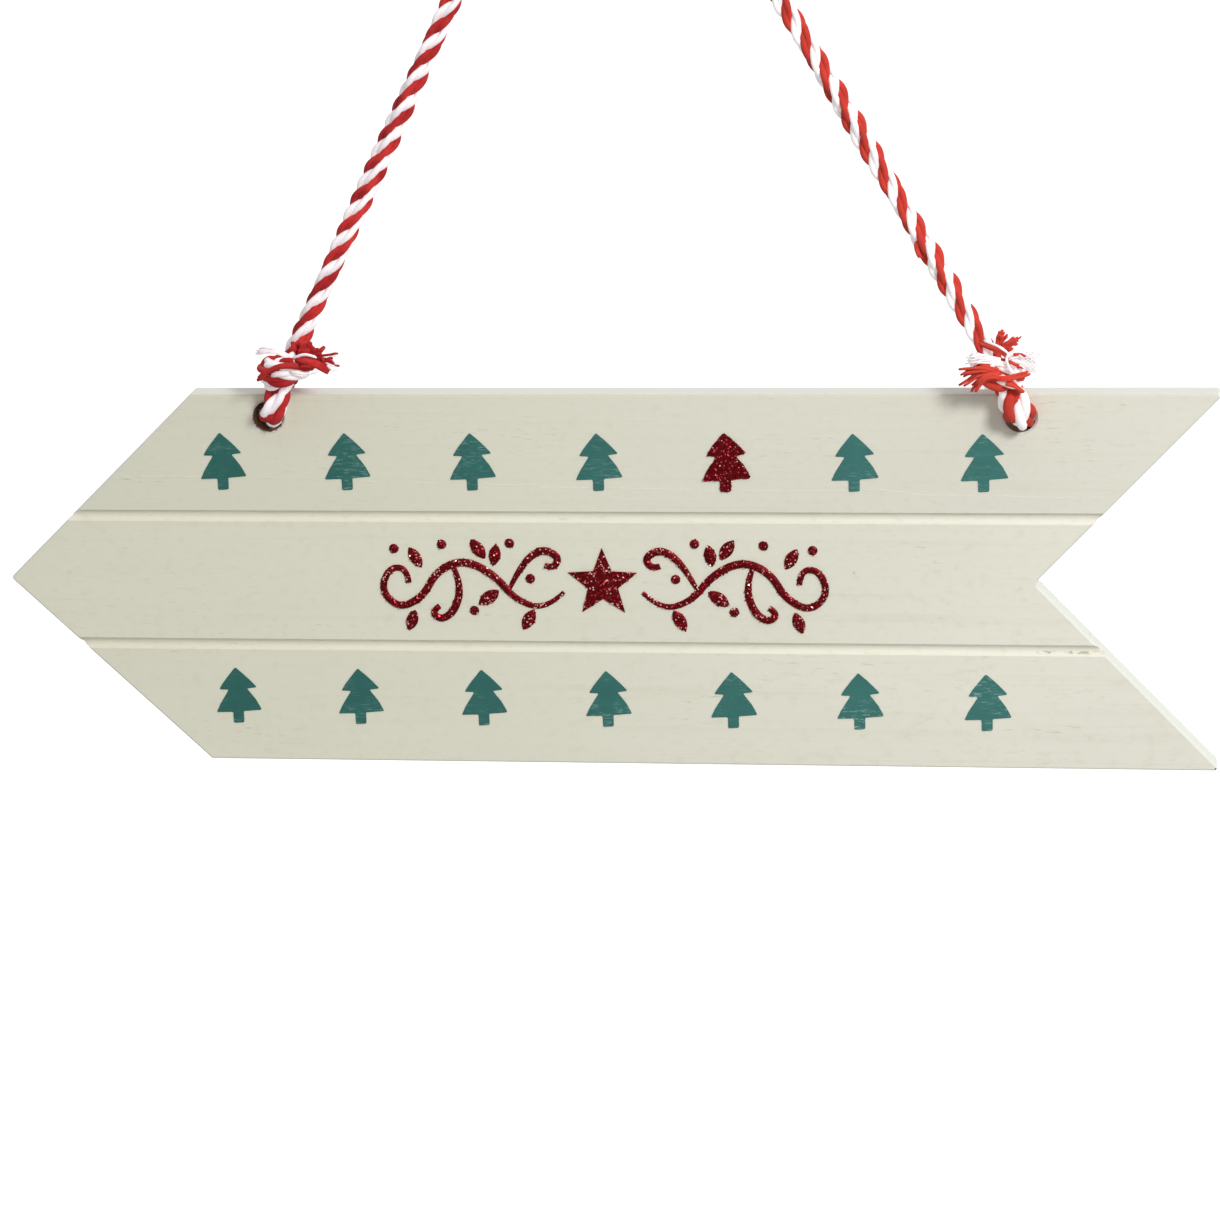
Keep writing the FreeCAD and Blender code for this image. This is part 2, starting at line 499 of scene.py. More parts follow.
@dataclass(frozen=True)
class TornWood(Finish):
    """Bare softwood fibres torn by a drill."""

    bare: Colour = linear("#B08C6C")
    dark: Colour = linear("#70523C")
    tone: Layer = Layer(Grain((400.0, 700.0, 900.0)), (0.35, 0.7))
    depth: float = 0.0001

    def sockets(self, s: Sheet) -> Sockets:
        """The shader's inputs.

        Args:
            s: the sheet that the nodes go on.

        Returns:
            The inputs, by their names.
        """
        return {
            "Base Color": s.blend(s.layer(self.tone), self.bare, self.dark),
            "Roughness": 0.9,
            "Normal": s.bump((s.noise(self.tone.grain), self.depth)),
        }


@dataclass(frozen=True)
class TreeInk(Finish):
    """Teal printing ink, laid on thinly enough to break over the grain, and lighter towards the right as
    painted light.
    """

    teal: Colour = linear("#235F58")
    # Painted light: the lighter teal that the ink turns to towards the right.
    light: Colour = linear("#36706A")
    worn: Colour = linear("#BFE0D6")
    span: Span = (-0.15, 0.15)
    clouds: Grain = Grain((120.0, 120.0, 160.0))
    cloud_gain: Span = (0.3, 0.85)
    specks: Layer = Layer(Grain((380.0, 300.0, 1900.0), 3.0, 0.65), (0.5, 0.74))
    patches: Layer = Layer(Grain((38.0, 90.0, 90.0), 2.0), (0.36, 0.64))
    wear_gain: Span = (0.26, 0.22)
    depth: float = 0.00006

    def sockets(self, s: Sheet) -> Sockets:
        """The shader's inputs.

        Args:
            s: the sheet that the nodes go on.

        Returns:
            The inputs, by their names.
        """
        # Painted light: lighter ink towards the right; the same rise also makes the real wear stronger
        # there.
        lit_right = s.ramp(s.axes(s.place)[0], *self.span)
        cloudy = s.math("MULTIPLY_ADD", s.noise(self.clouds), *self.cloud_gain)
        colour = s.brightness(s.blend(lit_right, self.teal, self.light), cloudy)
        strength = s.math("MULTIPLY_ADD", lit_right, *self.wear_gain)
        lost = s.product(s.layer(self.specks), s.layer(self.patches), strength)
        return {
            "Base Color": s.blend(lost, colour, self.worn),
            "Roughness": 0.55,
            "Specular IOR Level": 0.4,
            "Normal": s.bump((s.noise(self.specks.grain), self.depth)),
        }


@dataclass(frozen=True)
class GlitterBed(Finish):
    """Dark red glue with fine glitter bedded in it; a few of its cells are painted bright as glints."""

    red: Colour = linear("#7E0911")
    deep: Colour = linear("#4C0308")
    # Painted highlight: the colour of the few glinting cells.
    painted_glint: Colour = linear("#D8505E")
    cells: float = 2600.0
    glint_span: Span = (0.93, 0.96)
    depth: float = 0.00018

    def sockets(self, s: Sheet) -> Sockets:
        """The shader's inputs.

        Args:
            s: the sheet that the nodes go on.

        Returns:
            The inputs, by their names.
        """
        cells = s.add("TexVoronoi", {"Vector": s.place, "Scale": self.cells}, feature="F1")
        split = s.add("SeparateColor", {"Color": cells.outputs["Color"]})
        tone, chance = split.outputs[0], split.outputs[1]
        colour = s.blend(tone, self.deep, self.red)
        return {
            # Painted glints on a few cells.
            "Base Color": s.blend(s.ramp(chance, *self.glint_span), colour, self.painted_glint),
            "Roughness": 0.45,
            "Metallic": 0.4,
            "Specular IOR Level": 0.15,
            "Normal": s.bump((tone, self.depth)),
        }


@dataclass(frozen=True)
class Flake(Finish):
    """One shade of glitter flake."""

    colour: Colour
    roughness: float = 0.22
    metallic: float = 0.85
    tone: Grain = Grain((900.0, 900.0, 900.0), 1.0)
    darkest: float = 0.5

    def sockets(self, s: Sheet) -> Sockets:
        """The shader's inputs.

        Args:
            s: the sheet that the nodes go on.

        Returns:
            The inputs, by their names.
        """
        tone = s.math("ADD", s.noise(self.tone), self.darkest)
        return {
            "Base Color": s.brightness(self.colour, tone),
            "Roughness": self.roughness,
            "Metallic": self.metallic,
        }


@dataclass(frozen=True)
class Yarn(Finish):
    """Soft cotton yarn, lighter towards the sign's tail as painted light, with a painted glow that lifts
    its shade.
    """

    colour: Colour
    shade: Colour
    # Painted light: towards the tail the yarn takes on this lighter colour, in place of the stronger light
    # on that side.
    lit_right: Colour
    sheen: float
    # Painted light: the yarn glows a little, which lifts its shade.
    glow: float
    lit_span: Span = (-0.10, 0.12)
    lit_weight: float = 0.6
    clouds: Layer = Layer(Grain((160.0, 160.0, 160.0)), (0.3, 0.75))
    hairs: Layer = Layer(Grain((0.5, 9.0, 1.0), 3.0, 0.6), (0.55, 0.75), 0.35)
    depth: float = 0.00008

    def sockets(self, s: Sheet) -> Sockets:
        """The shader's inputs.

        Args:
            s: the sheet that the nodes go on.

        Returns:
            The inputs, by their names.
        """
        along = s.add("UVMap", {}, uv_map="yarn").outputs["UV"]
        hairs = s.noise(self.hairs.grain, along)
        colour = s.blend(s.layer(self.clouds), self.colour, self.shade)
        colour = s.blend(s.layer(self.hairs), colour, self.shade)
        # Painted light: lighter towards the tail.
        lit_share = s.product(s.ramp(s.axes(s.place)[0], *self.lit_span), self.lit_weight)
        colour = s.blend(lit_share, colour, self.lit_right)
        return {
            "Base Color": colour,
            "Roughness": 0.85,
            "Specular IOR Level": 0.2,
            "Sheen Weight": self.sheen,
            # Painted glow, which lifts the yarn's shade.
            "Emission Color": colour,
            "Emission Strength": self.glow,
            "Normal": s.bump((hairs, self.depth)),
        }


@dataclass(frozen=True)
class PaleFloor(Finish):
    """A pale floor that glows white towards the back."""

    grey: Colour = (0.6, 0.6, 0.6)
    glow_span: Span = (0.3, 1.3)
    glow: float = 0.85

    def sockets(self, s: Sheet) -> Sockets:
        """The shader's inputs.

        Args:
            s: the sheet that the nodes go on.

        Returns:
            The inputs, by their names.
        """
        return {
            "Base Color": self.grey,
            "Roughness": 1.0,
            "Emission Color": (1.0, 1.0, 1.0),
            "Emission Strength": s.product(s.ramp(s.axes(s.place)[1], *self.glow_span), self.glow),
        }


def unit(rows: np.ndarray) -> np.ndarray:
    """Rows scaled to length one."""
    return rows / np.maximum(np.linalg.norm(rows, axis=1, keepdims=True), 1e-12)


def lengths(line: np.ndarray) -> np.ndarray:
    """The length of a line up to each of its points."""
    return np.concatenate(([0.0], np.cumsum(np.linalg.norm(np.diff(line, axis=0), axis=1))))


def around(angle: np.ndarray, first: np.ndarray, second: np.ndarray) -> np.ndarray:
    """Directions turned by an angle from a first one towards a second."""
    return np.cos(angle)[..., None] * first + np.sin(angle)[..., None] * second


def carried_frames(points: np.ndarray) -> tuple[np.ndarray, np.ndarray]:
    """Frames carried along a line with no twist of their own.

    Args:
        points: the line's points.

    Returns:
        Normals and binormals, one row per point.
    """
    tangents = unit(np.gradient(points, axis=0))
    start = np.cross(tangents[0], (0.0, 0.0, 1.0))
    if np.linalg.norm(start) < 1e-3:
        start = np.cross(tangents[0], (1.0, 0.0, 0.0))
    normals = np.zeros_like(points)
    normals[0] = start / np.linalg.norm(start)
    for i in range(1, len(points)):
        carried = normals[i - 1] - tangents[i] * np.dot(normals[i - 1], tangents[i])
        normals[i] = carried / np.linalg.norm(carried)
    return normals, np.cross(tangents, normals)


def select_none() -> None:
    """Clears the selection."""
    bpy.ops.object.select_all(action="DESELECT")


def select_only(*pieces: bpy.types.Object) -> None:
    """Selects these objects and nothing else, and makes the first active.

    Args:
        pieces: the objects.
    """
    select_none()
    for piece in pieces:
        piece.select_set(True)
    bpy.context.view_layer.objects.active = pieces[0]


def edit_all(piece: bpy.types.Object) -> None:
    """Opens a piece in edit mode with all of it selected.

    Args:
        piece: the piece.
    """
    select_only(piece)
    bpy.ops.object.mode_set(mode="EDIT")
    bpy.ops.mesh.select_all(action="SELECT")


def face_outwards() -> None:
    """Turns the edited piece's faces outwards and leaves edit mode."""
    bpy.ops.mesh.select_all(action="SELECT")
    bpy.ops.mesh.normals_make_consistent(inside=False)
    bpy.ops.object.mode_set(mode="OBJECT")


def thicken(depth: float) -> None:
    """Extrudes the edited piece backwards, and finishes it.

    Args:
        depth: how far, in metres.
    """
    bpy.ops.mesh.select_all(action="SELECT")
    bpy.ops.mesh.extrude_region_move(TRANSFORM_OT_translate={"value": (0.0, depth, 0.0)})
    face_outwards()


def dress(piece: bpy.types.Object, *finishes: bpy.types.Material) -> None:
    """Gives a piece these finishes in place of its own.

    Args:
        piece: the piece.
        finishes: its new materials.
    """
    piece.data.materials.clear()
    for finish in finishes:
        piece.data.materials.append(finish)


def link(name: str, data: bpy.types.ID) -> bpy.types.Object:
    """Puts a new object into the scene.

    Args:
        name: its name.
        data: its mesh, curve, light or camera.

    Returns:
        The object.
    """
    piece = bpy.data.objects.new(name, data)
    bpy.context.collection.objects.link(piece)
    return piece


def join(
    pieces: Sequence[bpy.types.Object], name: str, finish: bpy.types.Material
) -> bpy.types.Object:
    """Joins pieces into one with one finish.

    Args:
        pieces: the pieces.
        name: the new piece's name.
        finish: its material.

    Returns:
        The new piece.
    """
    select_only(*pieces)
    bpy.ops.object.join()
    piece = bpy.context.object
    piece.name = piece.data.name = name
    dress(piece, finish)
    return piece


def mesh_piece(
    name: str,
    points: list,
    faces: list[tuple[int, ...]],
    finishes: Sequence[bpy.types.Material],
    indices: list[int],
) -> bpy.types.Object:
    """Makes a piece from points and faces.

    Args:
        name: its name.
        points: its points.
        faces: its faces, as indices of points.
        finishes: its materials.
        indices: each face's material.

    Returns:
        The piece.
    """
    mesh = bpy.data.meshes.new(name)
    mesh.from_pydata(points, [], faces)
    piece = link(name, mesh)
    dress(piece, *finishes)
    mesh.polygons.foreach_set("material_index", indices)
    mesh.update()
    return piece


def smooth_curve(name: str, places: Sequence[Sequence[float]], detail: int) -> bpy.types.Object:
    """A smooth curve with control points at given places.

    Args:
        name: its name.
        places: its control points.
        detail: its segments between two of them.

    Returns:
        The curve.
    """
    curve = bpy.data.curves.new(name, "CURVE")
    curve.dimensions = "3D"
    curve.resolution_u = detail
    spline = curve.splines.new("NURBS")
    spline.points.add(len(places) - 1)
    for point, place in zip(spline.points, places):
        point.co = (*place, 1.0)
    spline.order_u = 3
    spline.use_endpoint_u = True
    return link(name, curve)


@dataclass
class Tubes:
    """Collects round tubes into one mesh with closed ends and a UV map along each of them."""

    name: str
    sides: int = 6
    points: list[np.ndarray] = field(default_factory=list)
    faces: list[tuple[int, ...]] = field(default_factory=list)
    uvs: list[tuple[float, float]] = field(default_factory=list)
    finishes: list[int] = field(default_factory=list)
    count: int = 0

    def add(self, line: np.ndarray, radii: np.ndarray, finish: int = 0) -> None:
        """Adds a tube.

        Args:
            line: its centre line.
            radii: its radius at each point.
            finish: the index of its material.
        """
        normals, binormals = carried_frames(line)
        turn = np.linspace(0.0, TURN, self.sides, endpoint=False)[None, :]
        ring = around(turn, normals[:, None, :], binormals[:, None, :])
        self.points.append((line[:, None, :] + ring * radii[:, None, None]).reshape(-1, 3))
        along = lengths(line) / MM
        base, sides = self.count, self.sides
        for i in range(len(line) - 1):
            low, high = base + i * sides, base + (i + 1) * sides
            for j in range(sides):
                k = (j + 1) % sides
                self.faces.append((low + j, low + k, high + k, high + j))
                left, right = j / sides, (j + 1) / sides
                self.uvs += [(along[i], left), (along[i], right)]
                self.uvs += [(along[i + 1], right), (along[i + 1], left)]
        last = base + (len(line) - 1) * sides
        self.faces.append(tuple(range(base + sides - 1, base - 1, -1)))
        self.faces.append(tuple(range(last, last + sides)))
        self.uvs += [(0.0, 0.5)] * (2 * sides)
        self.finishes += [finish] * ((len(line) - 1) * sides + 2)
        self.count += len(line) * sides

    def build(self, finishes: Sequence[bpy.types.Material]) -> bpy.types.Object:
        """Makes one smooth piece of all tubes.

        Args:
            finishes: the materials, in the order of their indices.

        Returns:
            The piece.
        """
        points = np.concatenate(self.points).tolist()
        piece = mesh_piece(self.name, points, self.faces, finishes, self.finishes)
        layer = piece.data.uv_layers.new(name="yarn")
        layer.data.foreach_set("uv", [c for uv in self.uvs for c in uv])
        piece.data.polygons.foreach_set("use_smooth", [True] * len(piece.data.polygons))
        piece.data.update()
        return piece


@dataclass
class Knot:
    """One end of the rope: turns round the taut run, with the tail pulled out across the front."""

    centre: Place
    tilt: float
    outward: float
    first: float
    last: float
    turns: float = 1.5
    radius: float = 0.0062
    unevenness: float = 0.05
    waves: float = 2.3
    per_turn: int = 12
    tail: float = 0.0050

    def winding(self) -> list[Vector]:
        """The knot's turns, from behind the run to the end of the tail.

        Returns:
            The winding's points.
        """
        slope = math.radians(self.tilt)
        side = Vector((math.cos(slope), 0.0, math.sin(slope)))
        axis = Vector((-math.sin(slope), 0.0, math.cos(slope)))
        behind = Vector((0.0, 1.0, 0.0))
        count = round(self.turns * self.per_turn)
        points = []
        for i in range(count + 1):
            angle = TURN * i / self.per_turn
            swell = self.radius * (1.0 + self.unevenness * math.sin(self.waves * angle))
            along = self.first + (self.last - self.first) * i / count
            turned = side * (-self.outward * math.sin(angle)) + behind * math.cos(angle)
            points.append(Vector(self.centre) + axis * along + turned * swell)
        points.append(points[-1] + side * (self.outward * self.tail))
        return points


@dataclass(frozen=True)
class Slack:
    """A place where the rope opens out and turns a little."""

    place: Place
    reach: float
    gain: float
    turns: float

    def share(self, line: np.ndarray) -> np.ndarray:
        """How strongly each point of a line is touched."""
        away = np.linalg.norm(line - np.array(self.place), axis=1)
        return np.exp(-((away / self.reach) ** 2))


@dataclass
class Rope:
    """The rope: one length, knotted at both ends, of four strands that are twisted from yarns."""

    diameter: float = 0.0063
    lay: Span = (0.0226, 0.0244)
    phase: float = 0.063
    crown_turns: float = 0.098
    crown_share: Span = (0.46, 0.54)
    yarn_lay: float = 0.0108
    strand_ring: float = 0.00190
    yarn_ring: float = 0.00073
    yarn_radius: float = 0.00104
    strands: int = 4
    yarns: int = 2
    sides: int = 8
    step: float = 0.0008
    detail: int = 24
    hook_ease: float = 0.037
    slack: tuple[Slack, ...] = (
        Slack((-0.1119, -0.0098, -0.2165), 0.0075, 0.30, 0.107),
        Slack((0.1280, -0.0100, -0.2170), 0.0085, 0.60, 0.068),
    )
    left_knot: Knot = field(
        default_factory=lambda: Knot((-0.1074, -0.0080, -0.2042), 12.0, 1.0, -0.0028, 0.0030)
    )
    right_knot: Knot = field(
        default_factory=lambda: Knot((0.1223, -0.0080, -0.2034), -10.0, -1.0, 0.0030, -0.0030)
    )
    left_side: tuple[Place, ...] = (
        (-0.1096, 0.0086, -0.2090),
        (-0.1184, 0.0096, -0.2222),
        (-0.1124, -0.0105, -0.2194),
        (-0.1107, -0.0090, -0.2115),
        (-0.1031, -0.0070, -0.1943),
    )
    left_crown: Place = (-0.0044, 0.0, 0.0031)
    right_crown: Place = (0.00416, 0.0, 0.0031)
    right_side: tuple[Place, ...] = (
        (0.1162, -0.0070, -0.1919),
        (0.1266, -0.0090, -0.2110),
        (0.1296, -0.0105, -0.2194),
        (0.1330, 0.0096, -0.2222),
        (0.1232, 0.0086, -0.2093),
    )

    def eased(self, crown: Place, below: Place) -> Vector:
        """A point on a taut run, a little below the hook."""
        return Vector(crown) + (Vector(below) - Vector(crown)).normalized() * self.hook_ease

    def route(self) -> list[Vector]:
        """The rope's route from its left tail to its right tail.

        Returns:
            The route's control points.
        """
        return [
            *reversed(self.left_knot.winding()),
            *map(Vector, self.left_side),
            self.eased(self.left_crown, self.left_side[-1]),
            Vector(self.left_crown),
            Vector(self.right_crown),
            self.eased(self.right_crown, self.right_side[0]),
            *map(Vector, self.right_side),
            *self.right_knot.winding(),
        ]

    def spline_points(self) -> np.ndarray:
        """Points of the route's smooth spline, evenly spaced.

        Returns:
            The points, one row each.
        """
        guide = smooth_curve("rope_route", self.route(), self.detail)
        bpy.context.view_layer.update()
        line = bpy.data.meshes.new_from_object(guide)
        raw = np.array([v.co[:] for v in line.vertices])
        bpy.data.objects.remove(guide)
        bpy.data.meshes.remove(line)
        length = lengths(raw)
        even = np.linspace(0.0, length[-1], max(2, round(length[-1] / self.step)))
        return np.stack([np.interp(even, length, raw[:, axis]) for axis in range(3)], axis=1)

    def turning(self, line: np.ndarray, along: np.ndarray) -> np.ndarray:
        """The strands' turns round the rope at each point.

        Args:
            line: the rope's own line.
            along: the length up to each point.

        Returns:
            The turns.
        """
        lays = np.interp(along, (along[0], along[-1]), self.lay)
        turns = np.concatenate(([0.0], np.cumsum(np.diff(along) / lays[1:])))
        turns += self.crown_turns * np.interp(along / along[-1], self.crown_share, (0.0, 1.0))
        return turns + self.phase + sum(slack.turns * slack.share(line) for slack in self.slack)

    def yarn_lines(
        self, line: np.ndarray, swell: np.ndarray
    ) -> Iterable[tuple[np.ndarray, int]]:
        """Centre lines of all yarns.

        Args:
            line: the rope's own line.
            swell: how much the rope opens out at each point.

        Yields:
            Each yarn's line, and the number of its strand.
        """
        normals, binormals = carried_frames(line)
        along = lengths(line)
        turns = self.turning(line, along)
        for strand in range(self.strands):
            angle = Twist.Z.value * TURN * turns + TURN * strand / self.strands
            out = around(angle, normals, binormals)
            across = around(angle, binormals, -normals)
            for yarn in range(self.yarns):
                roll = Twist.S.value * TURN * along / self.yarn_lay + TURN * yarn / self.yarns
                offset = self.strand_ring * out + self.yarn_ring * around(roll, out, across)
                yield line + swell[:, None] * offset, strand

    def build(
        self, finishes: Sequence[bpy.types.Material]
    ) -> tuple[bpy.types.Object, np.ndarray]:
        """Makes the rope.

        Args:
            finishes: red and white yarn.

        Returns:
            The rope, and its centre line.
        """
        line = self.spline_points()
        swell = 1.0 + sum(slack.gain * slack.share(line) for slack in self.slack)
        tubes = Tubes("twisted_rope", self.sides)
        for yarn, strand in self.yarn_lines(line, swell):
            tubes.add(yarn, self.yarn_radius * swell, strand % len(finishes))
        return tubes.build(finishes), line


@dataclass(frozen=True)
class Lock:
    """A lock of loose yarn along a bent line, in millimetres."""

    root: Place
    bend: Place
    tip: Place
    count: int
    root_spread: float
    tip_spread: float
    radius: float
    ply: Ply


LEFT_LOCKS = (
    ((-104.5, -9.5, -200.0), (-104.4, -11.0, -197.5), (-103.6, -12.0, -195.4), 8, 0.9, 1.3, 0.95, RED),
    ((-102.5, -10.0, -200.0), (-101.5, -12.0, -196.8), (-100.8, -12.5, -194.8), 9, 0.9, 1.3, 0.95, RED),
    ((-100.6, -11.0, -199.1), (-98.6, -12.5, -196.8), (-97.4, -13.0, -195.0), 9, 0.9, 1.3, 0.95, RED),
    ((-99.0, -11.5, -199.3), (-96.5, -13.0, -197.6), (-94.6, -13.0, -196.4), 9, 0.9, 1.3, 0.9, RED),
    ((-102.3, -15.5, -200.1), (-96.4, -16.5, -199.4), (-92.6, -15.0, -202.7), 10, 1.1, 0.9, 0.92, RED),
    ((-96.1, -13.0, -199.7), (-92.8, -14.0, -198.9), (-91.3, -14.0, -200.0), 8, 1.0, 2.2, 0.55, RED),
    ((-96.1, -13.0, -199.9), (-92.6, -14.0, -199.5), (-90.5, -14.0, -200.7), 8, 0.8, 2.2, 0.45, WHITE),
    ((-103.0, -15.5, -198.6), (-99.7, -17.0, -196.4), (-95.8, -16.5, -198.0), 2, 0.15, 0.3, 0.45, WHITE),
    ((-103.3, -15.5, -199.9), (-108.0, -14.0, -195.3), (-115.2, -12.0, -197.3), 56, 0.6, 1.25, 0.19, WHITE),
    ((-101.5, -17.5, -201.1), (-109.5, -19.0, -199.2), (-114.6, -17.0, -205.0), 6, 0.5, 0.55, 0.8, RED),
    ((-106.7, -15.0, -199.1), (-109.7, -15.0, -198.4), (-111.7, -14.0, -202.8), 5, 0.5, 0.6, 0.42, WHITE),
    ((-104.0, -17.6, -202.3), (-99.8, -18.4, -203.8), (-95.2, -17.0, -202.8), 3, 0.2, 0.25, 0.45, WHITE),
)
RIGHT_LOCKS = (
    ((122.6, -9.0, -196.3), (123.6, -10.0, -193.6), (124.6, -10.0, -191.7), 10, 1.0, 1.6, 0.55, RED),
    ((124.6, -10.5, -196.5), (127.1, -12.0, -194.7), (128.4, -12.0, -194.0), 7, 0.9, 1.4, 0.55, RED),
    ((127.1, -12.0, -194.7), (129.1, -12.0, -194.2), (130.6, -12.0, -192.3), 1, 0.1, 0.1, 0.36, RED),
    ((117.0, -9.5, -194.9), (122.3, -13.5, -196.3), (126.3, -16.0, -197.8), 5, 0.7, 0.6, 0.62, RED),
    ((118.8, -11.0, -194.3), (124.8, -15.0, -195.5), (126.6, -17.0, -197.5), 2, 0.15, 0.2, 0.42, WHITE),
    ((126.6, -17.0, -197.5), (124.9, -17.8, -199.4), (127.8, -17.4, -203.0), 3, 0.2, 0.3, 0.42, WHITE),
    ((123.3, -15.5, -199.9), (118.5, -15.5, -198.4), (114.7, -13.5, -199.3), 30, 0.9, 1.6, 0.32, WHITE),
    ((123.4, -16.0, -200.3), (121.5, -17.0, -200.5), (121.0, -16.4, -202.7), 6, 0.6, 0.8, 0.42, WHITE),
    ((126.2, -14.0, -198.7), (130.1, -14.0, -196.2), (133.7, -13.0, -199.9), 110, 0.8, 2.6, 0.14, WHITE),
    ((126.3, -15.0, -199.0), (130.2, -15.0, -196.5), (133.0, -14.0, -198.7), 8, 0.7, 2.2, 0.38, WHITE),
    ((126.7, -15.0, -199.5), (131.1, -15.0, -200.0), (134.4, -13.0, -203.4), 44, 0.6, 1.3, 0.14, WHITE),
    ((128.3, -16.0, -197.5), (130.0, -16.5, -197.2), (131.7, -16.0, -198.3), 3, 0.3, 0.5, 0.45, RED),
    ((126.6, -16.5, -199.9), (128.3, -17.0, -200.3), (129.8, -16.5, -201.4), 3, 0.3, 0.4, 0.45, RED),
    ((122.9, -16.0, -203.3), (118.0, -17.5, -201.6), (113.2, -15.5, -204.9), 13, 0.9, 2.7, 0.62, RED),
    ((123.3, -18.2, -204.0), (118.6, -19.0, -203.4), (116.8, -16.8, -207.6), 8, 0.7, 1.9, 0.7, RED),
    ((121.4, -15.5, -201.9), (116.5, -15.0, -200.7), (112.2, -13.0, -204.2), 3, 0.4, 0.6, 0.45, RED),
    ((121.4, -17.0, -205.1), (126.4, -18.0, -205.3), (132.6, -15.5, -204.0), 6, 0.6, 0.7, 0.6, RED),
    ((126.3, -17.0, -206.1), (129.2, -16.5, -207.2), (130.6, -14.0, -210.2), 5, 0.7, 0.7, 0.6, RED),
    ((100.1, -7.5, -162.5), (95.6, -8.5, -163.6), (98.5, -8.0, -167.9), 3, 0.4, 0.4, 0.7, RED),
)


@dataclass
class Fray:
    """The frayed tail of one knot, as loose yarn ends in locks."""

    name: str
    seed: int
    locks: Sequence[tuple]
    joints: int = 9
    curl: float = 0.22
    scatter: float = 0.62
    waves: Place = (7.0, 6.0, 8.0)
    thinning: float = 0.82
    thickness: Span = (0.85, 1.12)
    blunting: float = 0.8

    def build(self, finishes: Sequence[bpy.types.Material]) -> bpy.types.Object:
        """Makes the frayed tail.

        Args:
            finishes: red and white yarn.

        Returns:
            The tail.
        """
        draw = random.Random(self.seed)
        tubes = Tubes(self.name)
        for lock in (Lock(*row) for row in self.locks):
            for _ in range(lock.count):
                tubes.add(*self.strand(lock, draw), lock.ply.value)
        return tubes.build(finishes)

    def strand(self, lock: Lock, draw: random.Random) -> tuple[np.ndarray, np.ndarray]:
        """One loose yarn end.

        Args:
            lock: the lock that it belongs to.
            draw: the source of chance.

        Returns:
            Its line and its radii, in metres.
        """
        at_root = np.array([draw.uniform(-1.0, 1.0) for _ in range(3)]) * lock.root_spread
        spread = [max(-1.0, min(1.0, draw.gauss(0.0, self.scatter))) for _ in range(3)]
        at_tip = np.array(spread) * lock.tip_spread
        root = np.array(lock.root) + at_root
        tip = np.array(lock.tip) + at_tip
        bend = np.array(lock.bend) + (at_root + at_tip) / 2.0
        phase = draw.uniform(0.0, TURN)
        t = np.linspace(0.0, 1.0, self.joints)[:, None]
        line = root * (1 - t) ** 2 + bend * 2 * t * (1 - t) + tip * t**2
        x, y, z = (rate * t for rate in self.waves)
        waves = np.concatenate((np.sin(x + phase), np.cos(y + phase), np.sin(z - phase)), axis=1)
        line += waves * t * self.curl
        radii = np.linspace(1.0, self.thinning, self.joints) * lock.radius
        radii *= draw.uniform(*self.thickness)
        radii[-1] *= self.blunting
        return line * MM, radii * MM


@dataclass
class HoleBreakout:
    """Timber torn by the drill round the holes' back rims, thickest on their outer sides."""

    outer_sides: Span = (190.0, -10.0)
    outer_spread: float = 38.0
    outer_count: int = 90
    outer_reach: Span = (1.4, 3.4)
    count: int = 90
    reach: Span = (0.6, 1.9)
    radius: float = 5.1
    depth: Span = (2.2, 4.9)
    droop: float = 0.5
    twist: float = 0.12
    taper: Place = (0.42, 0.3, 0.08)
    thickness: Span = (0.7, 1.2)
    seed: int = 31

    def build(self, finish: bpy.types.Material) -> bpy.types.Object:
        """Makes the splinters of both holes.

        Args:
            finish: bare timber.

        Returns:
            The splinters.
        """
        draw = random.Random(self.seed)
        tubes = Tubes("hole_breakout", sides=4)
        for (x, z), side in zip(HOLES, self.outer_sides):
            for index in range(self.count + self.outer_count):
                if index < self.count:
                    angle = draw.uniform(0.0, TURN)
                    reach = draw.uniform(*self.reach)
                else:
                    angle = math.radians(side + draw.gauss(0.0, self.outer_spread))
                    reach = draw.uniform(*self.outer_reach)
                y = draw.uniform(*self.depth)
                twist = draw.gauss(0.0, self.twist)
                line = []
                for t in (0.0, 0.5, 1.0):
                    r = self.radius - reach * t
                    turned = angle + twist * t
                    sunk = y + self.droop * t * t
                    line.append((x + r * math.cos(turned), sunk, z + r * math.sin(turned)))
                radii = np.array(self.taper) * draw.uniform(*self.thickness)
                tubes.add(np.array(line) * MM, radii * MM)
        return tubes.build([finish])


